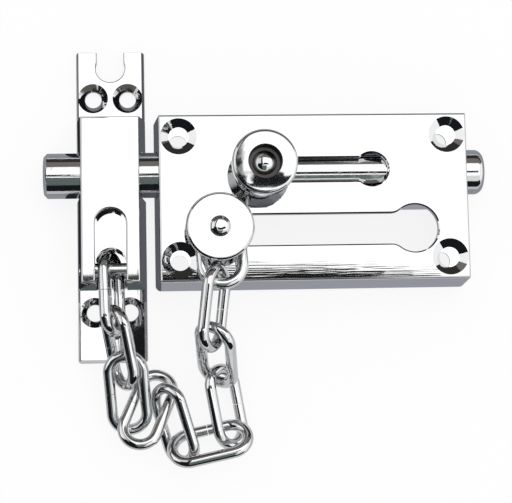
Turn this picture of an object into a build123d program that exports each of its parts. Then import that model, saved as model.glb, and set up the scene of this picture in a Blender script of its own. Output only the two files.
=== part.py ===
from build123d import *
from collections import namedtuple
from math import acos, atan2, cos, degrees, radians, sin, tan
import os

# Chain door bolt, lying on its back with the bolt thrown and the chain hooked in.
# Millimetres. X runs along the bolt, Y up the door, Z out from the door.
# The origin is the middle of the body's screw pattern, on the mounting plane.

# Fits
running_clearance = 0.25
face_clearance = 0.3
pin_clearance = 0.05
screw_clearance = 0.1

# Body casting
body_length = 84.0
body_height = 46.5
body_depth = 14.5
body_draft = 5.0
body_corner_r = 1.5
front_wall = 2.2
side_wall = 2.2
front_edge_r = 0.6
slot_edge = 0.35
body_screw_inset_x = 6.5
body_screw_inset_y = 6.95
body_screw_hole_d = 5.3
body_screw_head_d = 9.6
boss_wall = 1.9
rib_thickness = 2.0
countersink_angle = 90.0

# Bolt
bolt_d = 12.0
bolt_length = 117.2
bolt_overhang = 8.25
bolt_axis_y = 7.2
bolt_cover = 1.5
bolt_nose_chamfer = 0.9
bolt_tail_r = 2.2
bolt_travel = 29.2

# Bolt knob and its screw
knob_inset = 28.1
knob_height = 14.2
knob_cap_d = 16.8
knob_cap_flare = 1.0
knob_cap_dome = 4.3
button_pass_gap = 1.0
knob_neck_d = 11.4
knob_foot_d = 12.8
knob_stem_d = 5.8
knob_recess_d = 8.0
knob_recess_depth = 3.2
knob_recess_flare = 0.4
knob_seat_depth = 1.0
knob_screw_d = 3.2
knob_screw_length = 19.0
knob_screw_tip_room = 1.0
knob_screw_head_d = 6.2
knob_screw_head_h = 1.9
upper_slot_end_d = 8.8

# Chain button
button_inset = 16.6
button_y = -8.6
keyhole_end_inset = 15.6
button_d = 17.6
button_rim = 1.2
button_edge = 0.6
button_hub_d = 9.2
button_underside_rise = 3.0
button_hub_gap = 4.6
button_neck_d = 6.8
button_head_d = 11.8
button_head_t = 2.6
rivet_shank_d = 4.0
rivet_dome_d = 5.4
rivet_dome_h = 1.1
keyhole_play = 0.65
keyhole_end_play = 0.35
keyhole_blend_r = 4.0

# Keeper casting
keeper_gap = 2.25
keeper_width = 18.5
keeper_length = 84.4
keeper_plate_t = 3.0
keeper_plate_draft = 15.0
keeper_corner_r = 0.8
keeper_block_length = 46.6
keeper_block_draft = 6.3
keeper_block_top_z = 15.0
keeper_edge_r = 0.5
keeper_screw_pitch_x = 9.25
keeper_screw_pitch_y = 57.8
keeper_screw_hole_d = 4.5
keeper_screw_head_d = 8.0
notch_w = 7.3
notch_end_d = 7.9
notch_depth = 4.8
groove_w = 8.1
groove_top_y = -2.5
groove_depth = 5.7
pocket_clearance = 0.9

# Keeper pin
pin_d = 3.3
pin_y = -17.9
pin_z = 8.6
pin_bite = 2.4
pin_recess = 0.4

# Chain: links bent from round wire and butted half way along one leg
wire_d = 2.8
link_inner_length = 17.2
link_inner_width = 6.2
ring_inner_length = 17.2
ring_inner_width = 7.7
seam_gap = 0.25
hook_gap = 0.6
pin_gap = 0.35
pin_hook_offset = -0.3
ring_gap = 1.5

# How the chain lies, in degrees. Each link has its heading in plan, its rise along its length and its
# roll about it. It hangs on the wire before it, at a turn from that wire's far crown and from its own
# near crown; past a quarter turn the count goes on along the leg. The seam is on one leg or the other.
Lie = namedtuple("Lie", "heading rise roll held own seam")
pin_side = [
    Lie(-88, 7, -66, 0, 0, -1),
    Lie(-82, -8, 59, -97, 20, -1),
    Lie(-88, -16, 3, -42, -124, -1),
    Lie(64, -19, -7, -40, 85, 1),
    Lie(-76, -7, 45, -146, -110, -1),
    Lie(9, 2, -39, 51, -99, 1),
]
button_side = [
    Lie(-86, 11, 0, 0, 0, 1),
    Lie(-100, -1, -59, 3, 50, 1),
    Lie(-86, -44, 38, 93, 12, -1),
    Lie(-83, -3, -42, 12, 31, 1),
]
last_hook = (124, -96)

front_z = body_depth
body_screw_pitch_x = body_length - 2 * body_screw_inset_x
body_screw_pitch_y = body_height - 2 * body_screw_inset_y
keeper_x = -body_length / 2 - keeper_gap - keeper_width / 2
bolt_throw_end_x = keeper_x - keeper_width / 2 - bolt_overhang
bolt_axis_z = front_z - bolt_cover - bolt_d / 2
knob_x = -body_length / 2 + knob_inset
button_x = -body_length / 2 + button_inset
keyhole_slot_w = button_neck_d + 2 * keyhole_play
keyhole_end_d = button_head_d + 2 * keyhole_end_play
notch_end_y = keeper_length / 2 - notch_depth
bore_r = bolt_d / 2 + running_clearance
keyhole_end_x = body_length / 2 - keyhole_end_inset
button_travel = keyhole_end_x - button_x
upper_slot_end_x = knob_x + bolt_travel
knob_base_z = front_z + face_clearance
button_hub_z = front_z + button_hub_gap
button_rim_z = button_hub_z + button_underside_rise
button_face_z = button_rim_z + button_rim + button_edge
knob_rim_z = button_face_z + button_pass_gap
pocket_top_y = pin_y + pin_d / 2 + pin_gap + wire_d + pocket_clearance


def along_x(radius, start, stop, y, z):
    """Round bar or bore cutter from start to stop along X."""
    bar = Cylinder(radius, stop - start, align=(Align.CENTER, Align.CENTER, Align.MIN))
    return Pos(start, y, z) * Rot(0, 90, 0) * bar


def upright(radius, low, high, x=0, y=0):
    """Round bar from low to high along Z."""
    bar = Cylinder(radius, high - low, align=(Align.CENTER, Align.CENTER, Align.MIN))
    return Pos(x, y, low) * bar


def turned(outline):
    """Solid of revolution about Z from (radius, height) points and arcs closed on the axis."""
    return revolve(Plane.XZ * make_face(outline), Axis.Z)


def screw_cutter(x, y, top, hole_d, head_d):
    """Countersunk screw hole whose head is flush with the surface at top."""
    sink = (head_d - hole_d) / 2 / tan(radians(countersink_angle / 2))
    cone = Cone(hole_d / 2, head_d / 2, sink, align=(Align.CENTER, Align.CENTER, Align.MAX))
    return upright(hole_d / 2, -1, top + 1, x, y) + Pos(x, y, top) * cone


def corners(pitch_x, pitch_y):
    """The four places of a rectangular screw pattern about the origin."""
    return [(i * pitch_x / 2, j * pitch_y / 2) for i in (-1, 1) for j in (-1, 1)]


def upper_slot():
    """Outline of the knob's slot, with its wider round end."""
    width = knob_stem_d + 2 * running_clearance
    run = Pos((knob_x + upper_slot_end_x) / 2, bolt_axis_y) * SlotCenterToCenter(bolt_travel, width)
    return run + Pos(upper_slot_end_x, bolt_axis_y) * Circle(upper_slot_end_d / 2)


def keyhole_slot():
    """Outline of the button's slot, blended into the round end that lets the button's head out."""
    run = Pos((button_x + keyhole_end_x) / 2, button_y) * SlotCenterToCenter(button_travel, keyhole_slot_w)
    outline = run + Pos(keyhole_end_x, button_y) * Circle(keyhole_end_d / 2)
    throat = [v for v in outline.vertices() if button_x + 1 < v.X < keyhole_end_x - 1]
    return fillet(throat, keyhole_blend_r)


def body_casting():
    """Open-backed casting: drafted walls, screw bosses, one rib between bolt and button."""
    outer = extrude(RectangleRounded(body_length, body_height, body_corner_r), body_depth, taper=body_draft)
    outer = fillet(outer.edges().group_by(Axis.Z)[-1], front_edge_r)
    hollow_depth = body_depth - front_wall
    inside = RectangleRounded(body_length - 2 * side_wall, body_height - 2 * side_wall, body_corner_r)
    body = outer - extrude(inside, hollow_depth, taper=body_draft)
    rib_y = (bolt_axis_y - bore_r + button_y + button_head_d / 2) / 2
    rib_low = (Align.CENTER, Align.CENTER, Align.MIN)
    body += Pos(0, rib_y) * Box(body_length - 2 * side_wall, rib_thickness, hollow_depth, align=rib_low)
    places = corners(body_screw_pitch_x, body_screw_pitch_y)
    for x, y in places:
        body += upright(body_screw_hole_d / 2 + boss_wall, 0, hollow_depth + front_wall / 2, x, y)
    body -= along_x(bore_r, -body_length, body_length, bolt_axis_y, bolt_axis_z)
    body -= Pos(0, 0, bolt_axis_z) * extrude(upper_slot(), body_depth)
    body -= Pos(0, 0, hollow_depth / 2) * extrude(keyhole_slot(), body_depth)
    for x, y in places:
        body -= screw_cutter(x, y, front_z, body_screw_hole_d, body_screw_head_d)
    front = body.faces().sort_by(Axis.Z)[-1]
    rims = sorted(front.inner_wires(), key=lambda wire: wire.length)[-2:]
    return chamfer([edge for rim in rims for edge in rim.edges()], slot_edge)


def bolt_rod():
    """Round bolt with a chamfered nose, a rounded tail and a flat seat for the knob's stem."""
    end = bolt_throw_end_x + bolt_length
    rod = along_x(bolt_d / 2, bolt_throw_end_x, end, bolt_axis_y, bolt_axis_z)
    rims = rod.edges().filter_by(GeomType.CIRCLE).sort_by(Axis.X)
    rod = chamfer(rims[0], bolt_nose_chamfer)
    rod = fillet(rod.edges().filter_by(GeomType.CIRCLE).sort_by(Axis.X)[-1], bolt_tail_r)
    seat_z = bolt_axis_z + bolt_d / 2 - knob_seat_depth
    rod -= upright(knob_stem_d / 2 + screw_clearance, seat_z, front_z, knob_x, bolt_axis_y)
    hole_end = knob_screw_seat() - knob_screw_length - knob_screw_tip_room
    return rod - upright(knob_screw_d / 2 + screw_clearance, hole_end, seat_z, knob_x, bolt_axis_y)


def knob_screw_seat():
    """Height of the floor of the knob's recess, on which the screw's head bears."""
    return knob_base_z + knob_height - knob_recess_depth


def bolt_knob():
    """Turned mushroom knob: stem in the slot, waisted neck, domed cap with a recess for its screw."""
    seat_z = bolt_axis_z + bolt_d / 2 - knob_seat_depth
    top = knob_base_z + knob_height
    flare_z = knob_rim_z - knob_cap_flare
    stem_r = knob_stem_d / 2
    foot_r = knob_foot_d / 2
    neck_z = (knob_base_z + knob_rim_z) / 2
    cap_r = knob_cap_d / 2
    lip_r = knob_recess_d / 2 + knob_recess_flare
    lip_turn = acos(lip_r / cap_r)
    shoulder_z = top - knob_cap_dome * sin(lip_turn)
    hole_r = knob_screw_d / 2 + screw_clearance
    floor_z = knob_screw_seat()
    outline = [
        Line((hole_r, seat_z), (stem_r, seat_z)),
        Line((stem_r, seat_z), (stem_r, knob_base_z)),
        Line((stem_r, knob_base_z), (foot_r, knob_base_z)),
        ThreePointArc((foot_r, knob_base_z), (knob_neck_d / 2, neck_z), (foot_r, flare_z)),
        Line((foot_r, flare_z), (cap_r, knob_rim_z)),
        Line((cap_r, knob_rim_z), (cap_r, shoulder_z)),
        EllipticalCenterArc((0, shoulder_z), cap_r, knob_cap_dome, arc_size=degrees(lip_turn)),
        Line((lip_r, top), (knob_recess_d / 2, floor_z)),
        Line((knob_recess_d / 2, floor_z), (hole_r, floor_z)),
        Line((hole_r, floor_z), (hole_r, seat_z)),
    ]
    return Pos(knob_x, bolt_axis_y) * turned(outline)


def dome(radius, base, height):
    """Arc of a shallow dome from its rim to its crown on the axis."""
    ball_r = (radius**2 + height**2) / (2 * height)
    half = atan2(radius, ball_r - height) / 2
    centre = base + height - ball_r
    middle = (ball_r * sin(half), centre + ball_r * cos(half))
    return ThreePointArc((radius, base), middle, (0, base + height))


def knob_screw():
    """Dome-headed screw that holds the knob to the bolt."""
    head_r = knob_screw_head_d / 2
    flat = knob_screw_head_h / 3
    shank_r = knob_screw_d / 2
    outline = [
        Line((0, -knob_screw_length), (shank_r, -knob_screw_length)),
        Line((shank_r, -knob_screw_length), (shank_r, 0)),
        Line((shank_r, 0), (head_r, 0)),
        Line((head_r, 0), (head_r, flat)),
        dome(head_r, flat, knob_screw_head_h - flat),
        Line((0, knob_screw_head_h), (0, -knob_screw_length)),
    ]
    return Pos(knob_x, bolt_axis_y, knob_screw_seat()) * turned(outline)


def button_disc():
    """Turned disc, flat in front and conical behind, with a hole for the riveted stud."""
    disc_r = button_d / 2
    hole_r = rivet_shank_d / 2
    outline = Polyline(
        (hole_r, button_hub_z),
        (button_hub_d / 2, button_hub_z),
        (disc_r, button_rim_z),
        (disc_r, button_rim_z + button_rim),
        (disc_r - button_edge, button_face_z),
        (hole_r, button_face_z),
        close=True,
    )
    return Pos(button_x, button_y) * turned(outline)


def button_stud():
    """Stud: head behind the front wall, neck in the slot, shank riveted over the disc."""
    head_top = front_z - front_wall - face_clearance
    head_r = button_head_d / 2
    neck_r = button_neck_d / 2
    shank_r = rivet_shank_d / 2
    dome_r = rivet_dome_d / 2
    outline = [
        Line((0, head_top - button_head_t), (head_r, head_top - button_head_t)),
        Line((head_r, head_top - button_head_t), (head_r, head_top)),
        Line((head_r, head_top), (neck_r, head_top)),
        Line((neck_r, head_top), (neck_r, button_hub_z)),
        Line((neck_r, button_hub_z), (shank_r, button_hub_z)),
        Line((shank_r, button_hub_z), (shank_r, button_face_z)),
        Line((shank_r, button_face_z), (dome_r, button_face_z)),
        dome(dome_r, button_face_z, rivet_dome_h),
        Line((0, button_face_z + rivet_dome_h), (0, head_top - button_head_t)),
    ]
    return Pos(button_x, button_y) * turned(outline)


def keeper_casting():
    """Base plate with a parking notch, and a drafted block over the bolt and the chain's pin."""
    keeper = Pos(keeper_x) * extrude(
        RectangleRounded(keeper_width, keeper_length, keeper_corner_r),
        keeper_plate_t,
        taper=keeper_plate_draft,
    )
    block = Pos(keeper_x) * extrude(
        RectangleRounded(keeper_width, keeper_block_length, keeper_corner_r),
        keeper_block_top_z,
        taper=keeper_block_draft,
    )
    keeper += fillet(block.edges().group_by(Axis.Z)[-1], keeper_edge_r)

    channel = along_x(bore_r, keeper_x - keeper_width, keeper_x + keeper_width, bolt_axis_y, bolt_axis_z)
    keeper -= channel
    keeper -= Pos(keeper_x, bolt_axis_y, -1) * Box(
        2 * keeper_width, 2 * bore_r, bolt_axis_z + 1, align=(Align.CENTER, Align.CENTER, Align.MIN)
    )

    reach = keeper_block_length
    groove_floor = keeper_block_top_z - groove_depth
    for top_y, floor_z in ((groove_top_y, groove_floor), (pocket_top_y, keeper_plate_t)):
        arch_y = top_y - groove_w / 2
        slot = Pos(keeper_x, arch_y - reach / 2) * Rot(0, 0, 90) * SlotCenterToCenter(reach, groove_w)
        keeper -= Pos(0, 0, floor_z) * extrude(slot, keeper_block_top_z)

    hole = pin_d / 2 + pin_clearance
    keeper -= along_x(hole, keeper_x - keeper_width, keeper_x + groove_w / 2 + pin_bite, pin_y, pin_z)

    notch = Pos(keeper_x, notch_end_y) * Circle(notch_end_d / 2)
    notch += Pos(keeper_x, notch_end_y + keeper_length / 2) * Rectangle(notch_w, keeper_length)
    keeper -= Pos(0, 0, -1) * extrude(notch, keeper_plate_t + 2)
    for x, y in corners(keeper_screw_pitch_x, keeper_screw_pitch_y):
        keeper -= screw_cutter(keeper_x + x, y, keeper_plate_t, keeper_screw_hole_d, keeper_screw_head_d)
    return keeper


def keeper_pin():
    """Bar across the groove, pushed in from the far side."""
    half = keeper_width / 2 - pin_z * tan(radians(keeper_block_draft))
    start = keeper_x - half + pin_recess
    stop = keeper_x + groove_w / 2 + pin_bite - pin_clearance
    return along_x(pin_d / 2, start, stop, pin_y, pin_z)


class Loop:
    """A wire loop of two crowns and two legs, lying in space.

    Args:
        inner_length: Clear length inside the loop.
        inner_width: Clear width inside the loop.
        lie: Heading, rise, roll and seam side of the loop.
    """

    def __init__(self, inner_length, inner_width, lie):
        heading = radians(lie.heading)
        rise = radians(lie.rise)
        roll = radians(lie.roll)
        level = Vector(-sin(heading), cos(heading), 0)
        self.seam = lie.seam
        self.crown_r = (inner_width + wire_d) / 2
        self.half_leg = (inner_length - inner_width) / 2
        self.along = Vector(cos(rise) * cos(heading), cos(rise) * sin(heading), sin(rise))
        self.across = level * cos(roll) + self.along.cross(level) * sin(roll)
        self.middle = Vector(0, 0, 0)

    def spot(self, end, turn):
        """Place on the wire's centre line, its run there and the way into the loop.

        Args:
            end: -1 for the near crown, 1 for the far one.
            turn: Degrees from the crown's tip, going on along the leg past a quarter turn.
        """
        side = 1 if turn >= 0 else -1
        bend = radians(min(abs(turn), 90))
        down_leg = radians(abs(turn)) * self.crown_r - bend * self.crown_r
        out = self.along * (end * cos(bend)) + self.across * (side * sin(bend))
        run = self.along * (-end * sin(bend)) + self.across * (side * cos(bend))
        crown = self.middle + self.along * (end * (self.half_leg - down_leg))
        return crown + out * self.crown_r, run, out * -1

    def hang(self, place, run, inward, turn, apart):
        """Move the loop so that its near wire hangs inside another wire, that far from its centre line."""
        own, own_run, own_inward = self.spot(-1, turn)
        across_both = run.cross(own_run).normalized()
        if across_both.dot(inward - own_inward) < 0:
            across_both = across_both * -1
        self.middle = self.middle + place + across_both * apart - own

    def solid(self):
        """The loop bent from wire, open at its seam."""
        leg, bend_r = self.half_leg, self.crown_r
        start = self.seam * seam_gap / 2
        plane = Plane(self.middle, x_dir=self.along, z_dir=self.along.cross(self.across * self.seam))
        path = Wire(
            [
                Edge.make_line((start, bend_r), (leg, bend_r)),
                Edge.make_three_point_arc((leg, bend_r), (leg + bend_r, 0), (leg, -bend_r)),
                Edge.make_line((leg, -bend_r), (-leg, -bend_r)),
                Edge.make_three_point_arc((-leg, -bend_r), (-leg - bend_r, 0), (-leg, bend_r)),
                Edge.make_line((-leg, bend_r), (start - seam_gap, bend_r)),
            ]
        )
        section = Plane((start, bend_r, 0), z_dir=(1, 0, 0)) * Circle(wire_d / 2)
        return plane * sweep(section, path)


def link_lies(half, heading, sag):
    """A half of the chain with all but its first loop swung about Z, and its third loop's rise changed."""
    swung = [half[0]] + [lie._replace(heading=lie.heading + heading) for lie in half[1:]]
    swung[2] = swung[2]._replace(rise=swung[2].rise + sag)
    return swung


def hung_half(first, lies):
    """The loops of one half, each hung on the one before."""
    loops = [first]
    for lie in lies[1:]:
        loop = Loop(link_inner_length, link_inner_width, lie)
        loop.hang(*loops[-1].spot(1, lie.held), lie.own, wire_d + hook_gap)
        loops.append(loop)
    return loops


def chain_halves(pin_swing, button_swing, sag):
    """Both halves of the chain, and by how much the last hook between them misses."""
    link = Loop(link_inner_length, link_inner_width, pin_side[0])
    pin = Vector(keeper_x + pin_hook_offset, pin_y, pin_z)
    link.hang(pin, Vector(1, 0, 0), link.along * -1, 0, (pin_d + wire_d) / 2 + pin_gap)
    ring = Loop(ring_inner_length, ring_inner_width, button_side[0])
    ring.middle = Vector(button_x, button_y, front_z + ring_gap + wire_d / 2) + ring.along * ring.half_leg
    from_pin = hung_half(link, link_lies(pin_side, pin_swing, 0))
    from_button = hung_half(ring, link_lies(button_side, button_swing, sag))
    place, run, inward = from_pin[-1].spot(1, last_hook[0])
    other, other_run, other_inward = from_button[-1].spot(1, last_hook[1])
    lift = run.cross(other_run).normalized()
    if lift.dot(inward - other_inward) < 0:
        lift = lift * -1
    return from_pin, from_button, place + lift * (wire_d + hook_gap) - other


def closed_chain():
    """The loops in order from the pin to the button, swung so that the last hook closes."""
    step = 0.01
    angles = [0.0, 0.0, 0.0]
    for _ in range(12):
        *_, miss = chain_halves(*angles)
        slopes = []
        for n in range(3):
            nudged = [angle + step * (m == n) for m, angle in enumerate(angles)]
            slopes.append((chain_halves(*nudged)[2] - miss) / step)
        a, b, c = slopes
        volume = a.dot(b.cross(c))
        angles[0] -= miss.dot(b.cross(c)) / volume
        angles[1] -= a.dot(miss.cross(c)) / volume
        angles[2] -= a.dot(b.cross(miss)) / volume
    from_pin, from_button, _ = chain_halves(*angles)
    return from_pin + from_button[::-1]


os.makedirs("parts", exist_ok=True)
pieces = {
    "body_casting": body_casting(),
    "bolt_rod": bolt_rod(),
    "bolt_knob": bolt_knob(),
    "knob_screw": knob_screw(),
    "button_disc": button_disc(),
    "button_stud": button_stud(),
    "keeper_casting": keeper_casting(),
    "keeper_pin": keeper_pin(),
}
*links, ring = closed_chain()
for number, link in enumerate(links, 1):
    pieces[f"chain_link_{number}"] = link.solid()
pieces["chain_end_ring"] = ring.solid()
for name, piece in pieces.items():
    export_step(piece, f"parts/{name}.step")
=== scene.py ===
"""Chain door bolt in polished chrome, lying on a white table with its bolt thrown and its chain hooked in."""

import logging
from dataclasses import dataclass, field
from enum import Enum
from math import asin, cos, hypot, pi, radians, sin

import bpy
from mathutils import Euler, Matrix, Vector


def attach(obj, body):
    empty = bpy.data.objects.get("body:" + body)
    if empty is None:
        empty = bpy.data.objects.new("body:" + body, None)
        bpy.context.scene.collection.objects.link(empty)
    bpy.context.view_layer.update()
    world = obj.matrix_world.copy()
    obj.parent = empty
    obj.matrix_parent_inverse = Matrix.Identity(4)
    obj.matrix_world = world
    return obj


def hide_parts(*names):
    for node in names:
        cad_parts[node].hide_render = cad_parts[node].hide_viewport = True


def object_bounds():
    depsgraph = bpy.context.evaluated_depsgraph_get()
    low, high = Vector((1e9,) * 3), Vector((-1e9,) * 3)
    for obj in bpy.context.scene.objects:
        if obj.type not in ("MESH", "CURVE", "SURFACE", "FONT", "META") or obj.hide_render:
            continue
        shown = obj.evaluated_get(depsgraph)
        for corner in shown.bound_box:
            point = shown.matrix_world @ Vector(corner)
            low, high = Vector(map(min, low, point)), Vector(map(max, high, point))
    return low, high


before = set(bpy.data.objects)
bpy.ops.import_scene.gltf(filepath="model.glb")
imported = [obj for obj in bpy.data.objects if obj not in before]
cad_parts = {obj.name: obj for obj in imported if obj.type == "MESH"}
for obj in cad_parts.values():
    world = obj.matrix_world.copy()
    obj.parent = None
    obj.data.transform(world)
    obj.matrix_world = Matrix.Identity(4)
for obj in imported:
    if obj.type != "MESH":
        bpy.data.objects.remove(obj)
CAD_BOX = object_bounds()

log = logging.getLogger("chain_door_bolt")

MM = 0.001
# In millimetres: the radius that stands for an axis, and the slack in finding points by their place.
AXIS_R = 0.0005
SNAP = 0.05

Colour = tuple[float, float, float]
WHITE: Colour = (1.0, 1.0, 1.0)


class Slot(Enum):
    """The record's material slots."""

    CASTING = "chrome_casting"
    TURNED = "chrome_turned"
    WIRE = "chrome_wire"


class Value:
    """A shader socket that carries a number, on which Python arithmetic adds Math nodes.

    Args:
        bench: The node tree's bench that makes the nodes.
        socket: The output socket that holds the number.
    """

    def __init__(self, bench: "Bench", socket: bpy.types.NodeSocket) -> None:
        self.bench = bench
        self.socket = socket

    def _math(self, operation: str, *terms: "Value | float") -> "Value":
        """Add one Math node over the terms."""
        return self.bench.value("ShaderNodeMath", {"operation": operation}, dict(enumerate(terms)))

    def __add__(self, other: "Value | float") -> "Value":
        """This value plus another."""
        return self._math("ADD", self, other)

    def __radd__(self, other: float) -> "Value":
        """A number plus this value."""
        return self._math("ADD", other, self)

    def __sub__(self, other: "Value | float") -> "Value":
        """This value less another."""
        return self._math("SUBTRACT", self, other)

    def __mul__(self, other: "Value | float") -> "Value":
        """This value times another."""
        return self._math("MULTIPLY", self, other)

    def larger(self, other: "Value | float") -> "Value":
        """The larger of this value and another."""
        return self._math("MAXIMUM", self, other)

    def spread(self, low: float, high: float, to_low: float, to_high: float) -> "Value":
        """This value carried from one range to another and held at its ends."""
        terms = {"Value": self, "From Min": low, "From Max": high, "To Min": to_low, "To Max": to_high}
        return self.bench.value("ShaderNodeMapRange", {"clamp": True}, terms)


class Bench:
    """Makes and links the nodes of one tree.

    Args:
        tree: The node tree of a material or of the world. Its nodes are cleared.
    """

    MIX_FACTOR, MIX_FIRST, MIX_SECOND, MIX_RESULT = 0, 6, 7, 2

    def __init__(self, tree: bpy.types.NodeTree) -> None:
        self.tree = tree
        tree.nodes.clear()

    @classmethod
    def of_material(cls, name: str) -> tuple[bpy.types.Material, "Bench"]:
        """Make a material, and the bench of its empty tree.

        Args:
            name: The material's name.

        Returns:
            The material and its bench.
        """
        made = bpy.data.materials.new(name)
        made.use_nodes = True
        return made, cls(made.node_tree)

    def node(self, kind: str, settings: dict | None = None, inputs: dict | None = None) -> bpy.types.Node:
        """Add a node.

        Args:
            kind: The node's type.
            settings: Properties of the node, set before its sockets.
            inputs: Values, Value objects or sockets for the node's inputs, by name or index.

        Returns:
            The new node.
        """
        made = self.tree.nodes.new(kind)
        for key, setting in (settings or {}).items():
            setattr(made, key, setting)
        for key, given in (inputs or {}).items():
            if isinstance(given, Value):
                given = given.socket
            if isinstance(given, bpy.types.NodeSocket):
                self.tree.links.new(given, made.inputs[key])
            else:
                made.inputs[key].default_value = given
        return made

    def value(self, kind: str, settings: dict | None = None, inputs: dict | None = None,
              output: str | int = 0) -> Value:
        """Add a node and wrap one of its outputs as a number."""
        return Value(self, self.node(kind, settings, inputs).outputs[output])

    def seen_directly(self) -> tuple[Value, Value]:
        """Tell the camera's own rays from those by way of a mirror or a glass.

        Returns:
            One where the camera looks, and one where a mirror or a glass does, with zero elsewhere.
        """
        path = self.node("ShaderNodeLightPath")
        camera, glossy, through = (Value(self, path.outputs[f"Is {kind} Ray"])
                                   for kind in ("Camera", "Glossy", "Transmission"))
        return camera, glossy.larger(through)

    def mix(self, share: Value, first: object, second: object) -> bpy.types.NodeSocket:
        """Mix two colours, given as sockets or as red, green, blue and alpha.

        Args:
            share: How much of the second colour is taken.
            first: The first colour.
            second: The second colour.

        Returns:
            The socket of the mixed colour.
        """
        inputs = {self.MIX_FACTOR: share, self.MIX_FIRST: first, self.MIX_SECOND: second}
        return self.node("ShaderNodeMix", {"data_type": "RGBA"}, inputs).outputs[self.MIX_RESULT]

    def glow(self, colour: Colour) -> bpy.types.NodeSocket:
        """Add an emission of one colour."""
        return self.node("ShaderNodeEmission", None, {"Color": (*colour, 1.0), "Strength": 1.0}).outputs[0]

    def show(self, shader: bpy.types.NodeSocket) -> None:
        """Link a shader to the material's output."""
        self.node("ShaderNodeOutputMaterial", None, {"Surface": shader})


@dataclass(frozen=True)
class RecessShade:
    """Painted shade in a round hollow about an upright axis: darker, and rougher, than the plate round it.

    Args:
        axis: Where its axis stands in X and Y, in metres.
        radius: Its radius at the mouth, in metres.
        mouth: Height of its mouth, in metres.
        tint: Colour of the painted shade in it.
        dullness: Roughness added in it.
        inner: Share of the radius within which it is dark all over.
        sill: Depth under the mouth from which it is dark all over, in metres.
    """

    axis: tuple[float, float]
    radius: float
    mouth: float
    tint: Colour = (0.07, 0.068, 0.065)
    dullness: float = 0.22
    inner: float = 0.96
    sill: float = 0.4 * MM

    def mask(self, bench: Bench, place: bpy.types.NodeSocket) -> Value:
        """Tell the inside of the hollow from the rest.

        Args:
            bench: The material's bench.
            place: The object's coordinates.

        Returns:
            One inside the hollow and zero outside.
        """
        split = bench.node("ShaderNodeSeparateXYZ", None, {0: place})
        east, north, up = (Value(bench, socket) for socket in split.outputs)
        out = (east - self.axis[0]) * (east - self.axis[0]) + (north - self.axis[1]) * (north - self.axis[1])
        near = out.spread(self.radius**2, (self.inner * self.radius)**2, 0.0, 1.0)
        return near * up.spread(self.mouth, self.mouth - self.sill, 0.0, 1.0)


@dataclass(frozen=True)
class ChromeFinish:
    """Bright chrome plate over a worked surface.

    Args:
        name: The material's name.
        tint: Colour of the plate's reflection.
        dulled: Colour where the plate is thin or handled.
        polish: Roughness of the bright plate.
        haze: Roughness added where it is hazed.
        haze_size: Size of the hazed patches, in metres.
        ripple: Height of the polishing waves under the plate, in metres.
        grain: Length of those waves along X, Y and Z, in metres.
        recess: Painted shade in a hollow, darker and rougher than the plate round it, if there is one.
        haze_range: Noise between which the haze goes from none to all.
        haze_tint: Share of the dulled colour in full haze.
        speck_range: Noise between which a speck goes from none to all.
        specks: How many specks go to the width of a hazed patch.
        speck_haze: Share of the haze's roughness in a speck.
    """

    name: str
    tint: Colour = (0.66, 0.665, 0.67)
    dulled: Colour = (0.60, 0.60, 0.597)
    polish: float = 0.035
    haze: float = 0.05
    haze_size: float = 0.012
    ripple: float = 0.000004
    grain: tuple[float, float, float] = (0.004, 0.004, 0.004)
    recess: RecessShade | None = None
    haze_range: tuple[float, float] = (0.52, 0.78)
    haze_tint: float = 0.8
    speck_range: tuple[float, float] = (0.6, 0.8)
    specks: float = 14.0
    speck_haze: float = 0.4

    def material(self) -> bpy.types.Material:
        """Build the chrome's node tree.

        Returns:
            The new material.
        """
        made, bench = Bench.of_material(self.name)
        place = bench.node("ShaderNodeTexCoord").outputs["Object"]
        cloud = bench.value("ShaderNodeTexNoise", None,
                            {"Vector": place, "Scale": 1 / self.haze_size, "Detail": 4.0, "Roughness": 0.6})
        speck = bench.value("ShaderNodeTexNoise", None,
                            {"Vector": place, "Scale": self.specks / self.haze_size, "Detail": 2.0})
        drawn = bench.node("ShaderNodeMapping", {"vector_type": "POINT"},
                           {"Vector": place, "Scale": tuple(1 / length for length in self.grain)}).outputs[0]
        wave = bench.value("ShaderNodeTexNoise", None, {"Vector": drawn, "Scale": 1.0, "Detail": 1.0})
        hazed = cloud.spread(*self.haze_range, 0.0, 1.0)
        specked = speck.spread(*self.speck_range, 0.0, 1.0)
        colour = bench.mix(hazed * self.haze_tint, (*self.tint, 1.0), (*self.dulled, 1.0))
        rough = self.polish + hazed * self.haze + specked * (self.speck_haze * self.haze)
        # Painted shade in the recess: a darker colour and more roughness inside its mask.
        if self.recess:
            hollow = self.recess.mask(bench, place)
            colour = bench.mix(hollow, colour, (*self.recess.tint, 1.0))
            rough = rough + hollow * self.recess.dullness
        bump = bench.node("ShaderNodeBump", None, {"Strength": 1.0, "Distance": self.ripple, "Height": wave})
        chrome = bench.node("ShaderNodeBsdfPrincipled", None, {
            "Metallic": 1.0, "Base Color": colour, "Roughness": rough, "Normal": bump.outputs["Normal"],
        })
        bench.show(chrome.outputs["BSDF"])
        return made


@dataclass(frozen=True)
class Rim:
    """A rim that is rolled over, found by its box. Sizes in millimetres.

    Args:
        low: Lowest corner of the box.
        high: Highest corner of the box.
        roll: Width of the roll.
        segments: Faces across the roll.
    """

    low: tuple[float, float, float]
    high: tuple[float, float, float]
    roll: float
    segments: int = 3

    def holds(self, place: Vector) -> bool:
        """Tell whether a place, in metres, is in the box."""
        return all(low <= at / MM <= high for low, at, high in zip(self.low, place, self.high))


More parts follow.
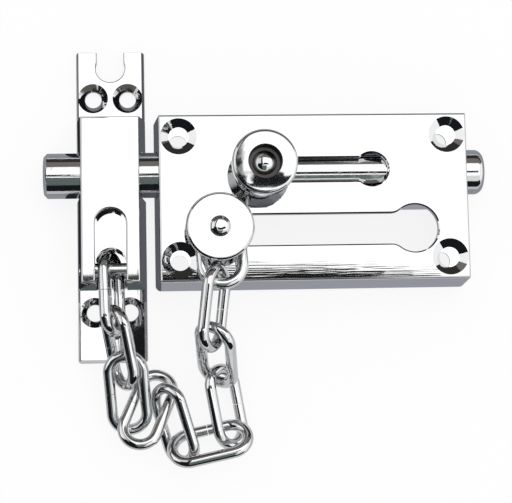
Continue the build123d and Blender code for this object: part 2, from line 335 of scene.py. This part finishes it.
@dataclass(frozen=True)
class Sink:
    """A countersink that is made shallower. Sizes in millimetres.

    Args:
        axis: Where the hole's axis stands in X and Y.
        radius: Radius at the front.
        low: Height at which the countersink meets the hole.
        high: Height of the front.
        share: Share of the depth that is kept.
    """

    axis: tuple[float, float]
    radius: float
    low: float
    high: float
    share: float

    def holds(self, place: Vector) -> bool:
        """Tell whether a place, in metres, is on the countersink below the front."""
        reach = hypot(place.x / MM - self.axis[0], place.y / MM - self.axis[1])
        return reach < self.radius + SNAP and self.low - SNAP < place.z / MM < self.high - SNAP


class Workshop:
    """Modelling steps that the sub-assemblies share."""

    WELD = 1e-6
    FLAT = radians(0.4)
    CREASE = 38.0
    EDGE_SEGMENTS = 2
    FACE_WEIGHT = 80
    TURNED_SIDES = 128
    TURNED_CREASE = radians(30)

    @staticmethod
    def clear_selection() -> None:
        """Leave edit mode and deselect everything."""
        if bpy.context.object and bpy.context.object.mode != "OBJECT":
            bpy.ops.object.mode_set(mode="OBJECT")
        bpy.ops.object.select_all(action="DESELECT")

    @classmethod
    def take(cls, piece: bpy.types.Object) -> None:
        """Make one object the only selected and active one.

        Args:
            piece: The object.
        """
        cls.clear_selection()
        piece.select_set(True)
        bpy.context.view_layer.objects.active = piece

    @classmethod
    def apply(cls, piece: bpy.types.Object, kind: str, **settings: object) -> None:
        """Add a modifier and apply it at once.

        Args:
            piece: The object that it changes.
            kind: The modifier's type.
            settings: The modifier's properties.
        """
        cls.take(piece)
        modifier = piece.modifiers.new(kind.lower(), kind)
        for key, setting in settings.items():
            setattr(modifier, key, setting)
        bpy.ops.object.modifier_apply(modifier=modifier.name)

    @classmethod
    def polished(cls, node: str, soft_edge: float, rims: tuple[Rim, ...] = (), sinks: tuple[Sink, ...] = (),
                 crease: float = CREASE) -> bpy.types.Object:
        """Model a polished piece over a solid: welded, with broken edges and true normals.

        Args:
            node: The solid's name.
            soft_edge: Width of the broken edges, in metres; none if zero.
            rims: Rims that are rolled over.
            sinks: Countersinks that are made shallower.
            crease: Angle past which an edge stays an edge, in degrees.

        Returns:
            The finished piece.
        """
        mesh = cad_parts[node].data.copy()
        piece = bpy.data.objects.new(node + "_polished", mesh)
        bpy.context.scene.collection.objects.link(piece)
        mesh.materials.clear()
        cls.take(piece)
        if mesh.has_custom_normals:
            bpy.ops.mesh.customdata_custom_splitnormals_clear()
        bpy.ops.object.mode_set(mode="EDIT")
        bpy.ops.mesh.select_all(action="SELECT")
        bpy.ops.mesh.remove_doubles(threshold=cls.WELD)
        bpy.ops.mesh.dissolve_limited(angle_limit=cls.FLAT)
        bpy.ops.object.mode_set(mode="OBJECT")
        for sink in sinks:
            cls.flatten(piece, sink)
        for rim in rims:
            cls.roll(piece, rim, radians(crease))
        if soft_edge:
            cls.apply(piece, "BEVEL", width=soft_edge, segments=cls.EDGE_SEGMENTS, limit_method="ANGLE",
                      angle_limit=radians(crease), use_clamp_overlap=True, harden_normals=False,
                      miter_outer="MITER_ARC")
        cls.take(piece)
        bpy.ops.object.shade_smooth_by_angle(angle=radians(crease))
        cls.apply(piece, "WEIGHTED_NORMAL", mode="FACE_AREA", weight=cls.FACE_WEIGHT, keep_sharp=True)
        return piece

    @staticmethod
    def edit_only(piece: bpy.types.Object, points: list[int],
                  edges: tuple[bpy.types.MeshEdge, ...] = ()) -> None:
        """Open a piece for editing with only some of it selected.

        Args:
            piece: The piece.
            points: Numbers of the selected points.
            edges: The selected edges.
        """
        mesh = piece.data
        for element in (*mesh.vertices, *mesh.edges, *mesh.polygons):
            element.select = False
        for element in (*(mesh.vertices[point] for point in points), *edges):
            element.select = True
        bpy.ops.object.mode_set(mode="EDIT")

    @classmethod
    def flatten(cls, piece: bpy.types.Object, sink: Sink) -> None:
        """Make a countersink shallower.

        Args:
            piece: The piece with the countersink.
            sink: The countersink.
        """
        cls.take(piece)
        cls.edit_only(piece, [point.index for point in piece.data.vertices if sink.holds(point.co)])
        bpy.ops.mesh.select_mode(type="VERT")
        bpy.ops.transform.resize(value=(1, 1, sink.share), center_override=(0, 0, sink.high * MM))
        bpy.ops.object.mode_set(mode="OBJECT")

    @classmethod
    def roll(cls, piece: bpy.types.Object, rim: Rim, crease: float) -> None:
        """Round the sharp edges that lie within a rim's box.

        Args:
            piece: The piece with the rim.
            rim: The rim's box and roll.
            crease: Angle past which an edge is sharp, in radians.
        """
        cls.take(piece)
        bpy.ops.object.mode_set(mode="EDIT")
        bpy.ops.mesh.select_mode(type="EDGE")
        bpy.ops.mesh.select_all(action="DESELECT")
        bpy.ops.mesh.edges_select_sharp(sharpness=crease)
        bpy.ops.object.mode_set(mode="OBJECT")
        points = piece.data.vertices
        rolled = tuple(edge for edge in piece.data.edges
                       if edge.select and all(rim.holds(points[end].co) for end in edge.vertices))
        cls.edit_only(piece, [end for edge in rolled for end in edge.vertices], rolled)
        bpy.ops.mesh.bevel(offset=rim.roll * MM, segments=rim.segments, affect="EDGES", clamp_overlap=False)
        bpy.ops.mesh.select_mode(type="VERT")
        bpy.ops.object.mode_set(mode="OBJECT")

    @classmethod
    def turned(cls, name: str, axis: tuple[float, float], stations: list[tuple[float, float]]) -> bpy.types.Object:
        """Turn a piece about an upright axis: a ring drawn up through the stations of its outline.

        Args:
            name: The piece's name.
            axis: Where the axis stands in X and Y, in millimetres.
            stations: Radius and height along the outline, in millimetres. A closed outline ends as it starts,
                and an open one starts and ends on the axis.

        Returns:
            The finished piece.
        """
        cls.clear_selection()
        x, y = (part * MM for part in axis)
        radius, height = stations[0]
        bpy.ops.mesh.primitive_circle_add(vertices=cls.TURNED_SIDES, radius=max(radius, AXIS_R) * MM,
                                          location=(x, y, height * MM))
        piece = bpy.context.object
        piece.name = name
        bpy.ops.object.transform_apply(location=True)
        bpy.ops.object.mode_set(mode="EDIT")
        bpy.ops.mesh.select_all(action="SELECT")
        for next_radius, next_height in stations[1:]:
            grow = max(next_radius, AXIS_R) / max(radius, AXIS_R)
            bpy.ops.mesh.extrude_edges_move(TRANSFORM_OT_translate={"value": (0, 0, (next_height - height) * MM)})
            bpy.ops.transform.resize(value=(grow, grow, 1), center_override=(x, y, next_height * MM))
            radius, height = next_radius, next_height
        bpy.ops.mesh.select_all(action="SELECT")
        bpy.ops.mesh.remove_doubles(threshold=2 * AXIS_R * MM)
        bpy.ops.mesh.normals_make_consistent(inside=False)
        bpy.ops.object.mode_set(mode="OBJECT")
        bpy.ops.object.shade_smooth_by_angle(angle=cls.TURNED_CREASE)
        return piece


@dataclass
class SubAssembly:
    """Solids that are finished alike and ride on one body.

    Args:
        body: The body that carries them.
        nodes: The solids' names.
        slot: The record's slot of their finish; not used.
        finish: Their chrome.
        soft_edge: Width of their broken edges, in metres.
        pieces: The finished pieces.
    """

    body: str
    nodes: tuple[str, ...]
    slot: Slot
    finish: ChromeFinish
    soft_edge: float = 0.0
    pieces: list[bpy.types.Object] = field(default_factory=list)

    def build(self) -> None:
        """Model every piece and set it on its body."""
        for node in self.nodes:
            piece = self.model(node)
            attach(piece, self.body)
            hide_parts(node)
            self.pieces.append(piece)

    def model(self, node: str) -> bpy.types.Object:
        """Model one piece over its solid."""
        return Workshop.polished(node, self.soft_edge)

    def dress(self) -> None:
        """Give every piece the chrome."""
        material = bpy.data.materials.get(self.finish.name) or self.finish.material()
        for piece in self.pieces:
            piece.data.materials.append(material)
            log.info("%s: %d faces in %s", piece.name, len(piece.data.polygons), material.name)


@dataclass
class BodyCasting(SubAssembly):
    """The body, with shallow countersinks round its four screw holes. Sizes in millimetres.

    Args:
        pitch: Distance between the holes in X and Y.
        sink_r: Radius of the countersinks at the front.
        front: Height of the front.
        sink_low: Height at which a countersink meets its hole.
        share: Share of the countersinks' depth that is kept.
        crease: Angle past which an edge stays an edge, in degrees.
    """

    pitch: tuple[float, float] = (71.0, 32.6)
    sink_r: float = 4.8
    front: float = 14.5
    sink_low: float = 12.35
    share: float = 0.72
    crease: float = 26.0

    def model(self, node: str) -> bpy.types.Object:
        """Model the body over its solid.

        Args:
            node: The solid's name.

        Returns:
            The finished body.
        """
        x, y = (pitch / 2 for pitch in self.pitch)
        places = ((-x, -y), (-x, y), (x, -y), (x, y))
        sinks = tuple(Sink(place, self.sink_r, self.sink_low, self.front, self.share) for place in places)
        return Workshop.polished(node, self.soft_edge, sinks=sinks, crease=self.crease)


@dataclass
class KeeperCasting(SubAssembly):
    """The keeper, with a rolled rim round the chain's groove and round the parking notch.

    Args:
        groove_rim: The rim round the groove.
        notch_rim: The rim round the notch.
    """

    groove_rim: Rim = Rim((-57.7, -22.6, 14.98), (-49.3, -2.4, 15.02), 0.45)
    notch_rim: Rim = Rim((-57.6, 33.2, 2.98), (-49.4, 43.0, 3.02), 0.3)

    def model(self, node: str) -> bpy.types.Object:
        """Model the keeper over its solid."""
        return Workshop.polished(node, self.soft_edge, (self.groove_rim, self.notch_rim))


@dataclass
class WirePiece(SubAssembly):
    """A piece of bent wire, made a little stouter than its solid.

    Args:
        build_up: How much stouter the wire is on each side, in metres.
    """

    build_up: float = 0.08 * MM

    def model(self, node: str) -> bpy.types.Object:
        """Model the wire over its solid.

        Args:
            node: The solid's name.

        Returns:
            The finished wire.
        """
        piece = super().model(node)
        Workshop.apply(piece, "DISPLACE", strength=self.build_up, mid_level=0.0)
        return piece


@dataclass
class SlidingBolt(SubAssembly):
    """The bolt with its knob, whose cap is slightly domed and rolled over at its edge. Sizes in millimetres.

    Args:
        axis: Where the knob's axis stands in X and Y.
        hole_r: Radius of the hole for its screw.
        stem: Radius of its stem and the stem's lowest height.
        foot: Radius and height of its foot.
        waist_r: Radius of the waist of its neck.
        neck_top: Height at which the neck flares.
        cap_r: Radius of the cap.
        cap_low: Height of the cap's lower edge.
        cap_ball_r: Radius of the ball that the cap is part of.
        cap_roll_r: Radius of the cap's rolled edge.
        lip: Radius and height of the recess's lip.
        floor: Radius and height of the recess's floor.
    """

    axis: tuple[float, float] = (-13.9, 7.2)
    hole_r: float = 1.7
    stem: tuple[float, float] = (2.9, 12.0)
    foot: tuple[float, float] = (6.4, 14.8)
    waist_r: float = 5.7
    neck_top: float = 23.9
    cap_r: float = 8.4
    cap_low: float = 24.9
    cap_ball_r: float = 42.0
    cap_roll_r: float = 1.1
    lip: tuple[float, float] = (4.4, 29.0)
    floor: tuple[float, float] = (4.0, 25.8)

    NECK_STEPS = 12
    ROLL_STEPS = 12
    CAP_STEPS = 10

    def model(self, node: str) -> bpy.types.Object:
        """Turn the knob, and model the bolt over its solid.

        Args:
            node: The solid's name.

        Returns:
            The finished piece.
        """
        if node != "bolt_knob":
            return super().model(node)
        return Workshop.turned("bolt_knob_turned", self.axis, self.knob_outline())

    def knob_outline(self) -> list[tuple[float, float]]:
        """The knob's outline, from its hole's lower end round its outside and down through the recess.

        Returns:
            Radius and height of each station.
        """
        stem_r, stem_low = self.stem
        foot_r, foot_z = self.foot
        lip_r, lip_z = self.lip
        outline = [(self.hole_r, stem_low), (stem_r, stem_low), (stem_r, foot_z)]
        for step in range(self.NECK_STEPS + 1):
            share = 2 * step / self.NECK_STEPS - 1
            height = foot_z + (self.neck_top - foot_z) * step / self.NECK_STEPS
            outline.append((self.waist_r + (foot_r - self.waist_r) * share**2, height))
        outline.append((self.cap_r, self.cap_low))
        roll_start = asin((self.cap_r - self.cap_roll_r) / (self.cap_ball_r - self.cap_roll_r))
        lip_tilt = asin(lip_r / self.cap_ball_r)
        crown_z = lip_z + self.cap_ball_r * (1 - cos(lip_tilt))
        ball_z = crown_z - self.cap_ball_r
        roll_z = ball_z + (self.cap_ball_r - self.cap_roll_r) * cos(roll_start)
        for step in range(self.ROLL_STEPS + 1):
            tilt = pi / 2 + (roll_start - pi / 2) * step / self.ROLL_STEPS
            outline.append((self.cap_r - self.cap_roll_r * (1 - sin(tilt)), roll_z + self.cap_roll_r * cos(tilt)))
        for step in range(1, self.CAP_STEPS + 1):
            tilt = roll_start + (lip_tilt - roll_start) * step / self.CAP_STEPS
            outline.append((self.cap_ball_r * sin(tilt), ball_z + self.cap_ball_r * cos(tilt)))
        return outline + [self.floor, (self.hole_r, self.floor[1]), (self.hole_r, stem_low)]


@dataclass
class ChainButton(SubAssembly):
    """The button's disc and its stud, riveted over with a flat crown. Sizes in millimetres.

    Args:
        axis: Where the stud's axis stands in X and Y.
        head: Radius of the stud's head, and its lower and upper heights.
        neck: Radius of the neck and its top's height.
        shank: Radius of the shank and its top's height.
        rivet: Radius and height of the rivet's crown.
        shoulder: How square the crown's shoulder is; two is round.
    """

    axis: tuple[float, float] = (-25.4, -8.6)
    head: tuple[float, float, float] = (5.9, 9.4, 12.0)
    neck: tuple[float, float] = (3.4, 19.1)
    shank: tuple[float, float] = (2.0, 23.9)
    rivet: tuple[float, float] = (2.7, 1.1)
    shoulder: float = 4.0

    CROWN_STEPS = 18

    def model(self, node: str) -> bpy.types.Object:
        """Turn the stud, and model the disc over its solid.

        Args:
            node: The solid's name.

        Returns:
            The finished piece.
        """
        if node != "button_stud":
            return super().model(node)
        return Workshop.turned("button_stud_turned", self.axis, self.stud_outline())

    def stud_outline(self) -> list[tuple[float, float]]:
        """The stud's outline from the middle of its head's back to the crown of its rivet.

        Returns:
            Radius and height of each station.
        """
        head_r, head_low, head_top = self.head
        neck_r, neck_top = self.neck
        shank_r, face = self.shank
        rivet_r, crown = self.rivet
        outline = [(0.0, head_low), (head_r, head_low), (head_r, head_top), (neck_r, head_top), (neck_r, neck_top),
                   (shank_r, neck_top), (shank_r, face)]
        for step in range(self.CROWN_STEPS + 1):
            share = cos(pi / 2 * step / self.CROWN_STEPS)
            outline.append((rivet_r * share, face + crown * (1 - share**self.shoulder)))
        return outline


@dataclass(frozen=True)
class Card:
    """A flat card around the table that only the chrome mirrors.

    Args:
        name: The card's name.
        spot: Its middle, in metres.
        size: Its width and height, in metres.
        glow: Its colour as mirrored.
        turn: Its turns about X and Y, in degrees; it lies level at zero.
    """

    name: str
    spot: tuple[float, float, float]
    size: tuple[float, float]
    glow: Colour
    turn: tuple[float, float] = (0.0, 0.0)

    def build(self) -> None:
        """Hang the card and hide it from everything but reflections."""
        Workshop.clear_selection()
        bpy.ops.mesh.primitive_plane_add(size=1.0, location=self.spot)
        card = bpy.context.object
        card.name = self.name
        card.scale = (*self.size, 1.0)
        card.rotation_euler = (radians(self.turn[0]), radians(self.turn[1]), 0.0)
        card.visible_camera = card.visible_diffuse = card.visible_shadow = False
        made, bench = Bench.of_material(self.name)
        bench.show(bench.glow(self.glow))
        card.data.materials.append(made)


# Colours of the cards as the chrome mirrors them, from bright to dark.
SOFT_WHITE: Colour = (1.65, 1.65, 1.65)
# Painted light: the glow that the body's screw bores mirror, where the table lies in the body's shadow.
BORE_LIGHT: Colour = (1.6, 1.6, 1.6)
SIDE_WHITE: Colour = (1.3, 1.3, 1.3)
CHAIN_GREY: Colour = (0.72, 0.72, 0.74)
# Painted shade: the table next to the object as its flanks mirror it.
TABLE_SHADE_GREY: Colour = (0.36, 0.37, 0.41)
WARM_GREY: Colour = (0.22, 0.205, 0.19)
COOL_GREY: Colour = (0.15, 0.18, 0.18)
# Painted shade in the gap between the keeper and the body.
GAP_SHADE_GREY: Colour = (0.11, 0.115, 0.13)
WARM_DARK: Colour = (0.04, 0.038, 0.036)
FLAG_DARK: Colour = (0.03, 0.03, 0.033)
RIGHT_DARK: Colour = (0.03, 0.03, 0.032)
# Painted shade on the table next to the keeper's left foot.
GAP_SHADE_DARK: Colour = (0.02, 0.021, 0.023)
STRAP_DARK: Colour = (0.02, 0.02, 0.022)
NEAR_BLACK: Colour = (0.012, 0.013, 0.015)
BLACK: Colour = (0.012, 0.012, 0.014)
LEFT_BLACK: Colour = (0.01, 0.01, 0.012)
# Turns of the cards that stand upright, facing along Y and along X.
ACROSS = (90.0, 0.0)
ALONGSIDE = (0.0, 90.0)
# Painted light: glowing white cards in the body's four screw bores.
BORE_CARDS = tuple(
    Card(f"bore_light_{end}_{side}", (x, y, 0.0008), (0.0066, 0.0066), BORE_LIGHT)
    for side, x in (("left", -0.0355), ("right", 0.0355)) for end, y in (("far", 0.0163), ("near", -0.0163))
)
CARDS = (
    # Over the object: the bright box, and the dark flags before it that the level faces and the wires mirror.
    Card("soft_box", (0.17, 0.07, 0.45), (0.56, 0.55), SOFT_WHITE),
    Card("camera_flag", (0.0, -0.0245, 0.40), (0.10, 0.083), BLACK),
    Card("camera_arm", (0.0575, -0.025, 0.40), (0.015, 0.082), BLACK),
    Card("camera_arm_low", (0.0725, -0.0256, 0.40), (0.015, 0.0808), BLACK),
    Card("camera_arm_lower", (0.0875, -0.0263, 0.40), (0.015, 0.0794), BLACK),
    Card("camera_arm_end", (0.1025, -0.0271, 0.40), (0.015, 0.0778), BLACK),
    Card("camera_skirt", (0.145, -0.036, 0.40), (0.07, 0.06), BLACK),
    Card("keeper_strap", (-0.066, 0.0118, 0.40), (0.05, 0.0054), BLACK),
    Card("tab_flag", (-0.055, -0.022, 0.40), (0.012, 0.024), BLACK),
    Card("camera_strap", (-0.0675, -0.06, 0.40), (0.035, 0.03), STRAP_DARK),
    Card("left_near_flag", (-0.2525, -0.033, 0.42), (0.335, 0.066), BLACK),
    Card("left_low_flag", (-0.2675, -0.088, 0.42), (0.305, 0.044), BLACK),
    Card("left_flag", (-0.15, 0.175, 0.44), (0.08, 0.35), FLAG_DARK),
    Card("near_flag", (-0.02, -0.365, 0.43), (0.24, 0.51), COOL_GREY),
    Card("near_left_flag", (-0.34, -0.365, 0.43), (0.40, 0.51), NEAR_BLACK),
    # Round the table: the walls that the countersinks, the bolt and the knob mirror.
    Card("near_wall", (0.0, -0.62, 0.215), (2.4, 0.43), NEAR_BLACK, ACROSS),
    Card("far_wall_high", (0.0, 0.42, 0.365), (2.4, 0.35), WARM_GREY, ACROSS),
    Card("far_wall_low", (0.0, 0.42, 0.095), (2.4, 0.19), WARM_DARK, ACROSS),
    Card("left_wall_high", (-0.55, 0.0, 0.29), (0.38, 1.6), SIDE_WHITE, ALONGSIDE),
    Card("left_wall_low", (-0.55, 0.0, 0.05), (0.10, 1.6), LEFT_BLACK, ALONGSIDE),
    Card("left_wall_middle", (-0.54, -0.46, 0.27), (0.34, 0.67), LEFT_BLACK, ALONGSIDE),
    Card("right_wall_high", (0.75, 0.0, 0.35), (0.60, 1.6), SIDE_WHITE, ALONGSIDE),
    Card("right_wall_low", (0.75, 0.0, 0.025), (0.05, 1.6), RIGHT_DARK, ALONGSIDE),
    # On the table: flat glowing patches that the upright faces and the undersides mirror in place of the table:
    # painted shade next to the keeper's left foot, between the keeper and the body and round the object, a lighter
    # grey patch under the chain, and painted light in the body's bores.
    Card("left_foot_shade", (-0.0644, -0.02, 0.0006), (0.003, 0.30), GAP_SHADE_DARK),
    Card("left_table_shade", (-0.1629, -0.02, 0.0004), (0.20, 0.30), TABLE_SHADE_GREY),
    Card("gap_shade", (-0.0425, 0.0, 0.0006), (0.004, 0.09), GAP_SHADE_GREY),
    Card("chain_table", (0.0285, -0.098, 0.0006), (0.217, 0.144), CHAIN_GREY),
    *BORE_CARDS,
    Card("grey_table_shade", (0.0371, -0.02, 0.0004), (0.20, 0.30), TABLE_SHADE_GREY),
)


@dataclass
class Studio:
    """White table, soft light, the cards that the chrome mirrors, and the photographed view.

    Args:
        table_half: Half the table's width, in metres.
        table_drop: How far the table lies below the object, in metres.
        table_white: Colour of the table.
        shadow_kept: Share of the object's shadow that the table shows.
        mirrored_white: Share of plain white in the table as the chrome mirrors it.
        lamp_spot: The soft lamp's place, in metres.
        lamp_tilt: The soft lamp's turns about X and Y, in degrees.
        lamp_width: Width of the soft lamp, in metres.
        lamp_power: Power of the soft lamp, in watts.
        sky_strength: Strength of the white surroundings on the table.
        eye: The camera's place, in metres.
        turn: The camera's turns about Z, then Y, then X, in radians.
        focal_px: Focal length in pixels of the photograph's frame.
        frame_px: Width of that frame, in pixels.
        sensor_mm: Width of the camera's sensor.
        clip: Nearest and farthest distance that the camera sees, in metres.
        cards: The cards over and around the table.
    """

    table_half: float = 3.0
    table_drop: float = 0.0003
    table_white: float = 0.93
    shadow_kept: float = 0.14
    mirrored_white: float = 0.05
    lamp_spot: tuple[float, float, float] = (0.2, 0.35, 1.2)
    lamp_tilt: tuple[float, float] = (-16.0, 9.0)
    lamp_width: float = 1.4
    lamp_power: float = 4.0
    sky_strength: float = 0.85
    eye: tuple[float, float, float] = (-0.04253, -0.05340, 0.38935)
    turn: tuple[float, float, float] = (0.10390, -0.07084, -0.01378)
    focal_px: float = 1449.8
    frame_px: float = 512.0
    sensor_mm: float = 36.0
    clip: tuple[float, float] = (0.01, 20.0)
    cards: tuple[Card, ...] = CARDS

    def build(self) -> None:
        """Set up the table, the light, the cards, the surroundings and the camera."""
        self._table()
        self._lamp()
        for card in self.cards:
            card.build()
        self._surroundings()
        self._camera()
        bpy.context.scene.view_settings.view_transform = "Standard"

    def _table(self) -> None:
        """Lay the white table under the object."""
        Workshop.clear_selection()
        low = CAD_BOX[0].z - self.table_drop
        bpy.ops.mesh.primitive_plane_add(size=2 * self.table_half, location=(0, 0, low))
        table = bpy.context.object
        table.name = "white_table"
        bpy.ops.object.transform_apply(location=True)
        made, bench = Bench.of_material("white_table")
        lit = bench.node("ShaderNodeBsdfDiffuse", None, {"Color": (*(self.table_white,) * 3, 1.0)}).outputs[0]
        bare = bench.glow(WHITE)
        camera, mirrored = bench.seen_directly()
        white_share = camera * (1 - self.shadow_kept) + mirrored * self.mirrored_white
        bench.show(bench.node("ShaderNodeMixShader", None, {0: white_share, 1: lit, 2: bare}).outputs[0])
        table.data.materials.append(made)

    def _lamp(self) -> None:
        """Hang one large soft lamp over the table."""
        data = bpy.data.lights.new("soft_lamp", "AREA")
        data.shape = "DISK"
        data.size = self.lamp_width
        data.energy = self.lamp_power
        lamp = bpy.data.objects.new("soft_lamp", data)
        lamp.location = self.lamp_spot
        lamp.rotation_euler = (radians(self.lamp_tilt[0]), radians(self.lamp_tilt[1]), 0)
        lamp.visible_glossy = False
        bpy.context.scene.collection.objects.link(lamp)

    def _surroundings(self) -> None:
        """Light the table evenly, with white behind it, which the chrome mirrors too."""
        world = bpy.data.worlds.new("studio")
        bpy.context.scene.world = world
        world.use_nodes = True
        bench = Bench(world.node_tree)
        even, behind = (
            bench.node("ShaderNodeBackground", None, {"Color": (*WHITE, 1.0), "Strength": strength}).outputs[0]
            for strength in (self.sky_strength, 1.0)
        )
        camera, mirrored = bench.seen_directly()
        shown = bench.node("ShaderNodeMixShader", None, {0: camera + mirrored, 1: even, 2: behind})
        bench.node("ShaderNodeOutputWorld", None, {"Surface": shown.outputs[0]})

    def _camera(self) -> None:
        """Place the camera where the photograph was taken from."""
        data = bpy.data.cameras.new("photographed_view")
        data.sensor_width = self.sensor_mm
        data.lens = self.sensor_mm * self.focal_px / self.frame_px
        data.clip_start, data.clip_end = self.clip
        camera = bpy.data.objects.new("photographed_view", data)
        bpy.context.scene.collection.objects.link(camera)
        camera.location = Vector(self.eye)
        camera.rotation_euler = Euler(self.turn, "ZYX").to_matrix().to_euler("XYZ")
        bpy.context.scene.camera = camera


KNOB_X, KNOB_Y = SlidingBolt.axis
LIP_R, LIP_Z = SlidingBolt.lip
# Painted shade in the knob's recess, round its screw.
KNOB_RECESS_SHADE = RecessShade((KNOB_X * MM, KNOB_Y * MM), LIP_R * MM, (LIP_Z - SNAP) * MM)
BODY = ChromeFinish("body_chrome", polish=0.03, ripple=0.0000045, grain=(0.011, 0.0005, 0.0005), haze=0.02)
KEEPER = ChromeFinish("keeper_chrome", polish=0.03, ripple=0.000002, grain=(0.0006, 0.011, 0.0006), haze=0.02)
TURNED = ChromeFinish("turned_chrome", polish=0.05, haze=0.04, ripple=0.000001)
KNOB = ChromeFinish("bolt_chrome", polish=0.07, haze=0.16, haze_size=0.003, ripple=0.000005,
                    grain=(0.0014, 0.0014, 0.0014), recess=KNOB_RECESS_SHADE)
WIRE = ChromeFinish("wire_chrome", polish=0.06, haze=0.05, haze_size=0.006, ripple=0.000002)
LINK_COUNT = 9
BOLT_EDGE = 0.15 * MM
BUTTON_EDGE = 0.12 * MM


def sub_assemblies() -> list[SubAssembly]:
    """List the object's sub-assemblies.

    Returns:
        The castings, the bolt, the button and the chain, in the order they are built.
    """
    parts = [
        BodyCasting("fixed", ("body_casting",), Slot.CASTING, BODY),
        KeeperCasting("fixed", ("keeper_casting",), Slot.CASTING, KEEPER),
        SubAssembly("fixed", ("keeper_pin",), Slot.TURNED, TURNED),
        SlidingBolt("bolt", ("bolt_rod", "bolt_knob"), Slot.TURNED, KNOB, BOLT_EDGE),
        SubAssembly("bolt", ("knob_screw",), Slot.TURNED, TURNED, BOLT_EDGE),
        ChainButton("button", ("button_disc", "button_stud"), Slot.TURNED, TURNED, BUTTON_EDGE),
        WirePiece("ring", ("chain_end_ring",), Slot.WIRE, WIRE),
    ]
    for number in range(1, LINK_COUNT + 1):
        parts.append(WirePiece(f"link_{number}", (f"chain_link_{number}",), Slot.WIRE, WIRE))
    return parts


def main() -> None:
    """Build and dress every sub-assembly, then the studio."""
    logging.basicConfig(level=logging.INFO, format="%(name)s: %(message)s")
    for part in sub_assemblies():
        part.build()
        part.dress()
    Studio().build()


if __name__ == "__main__":
    main()
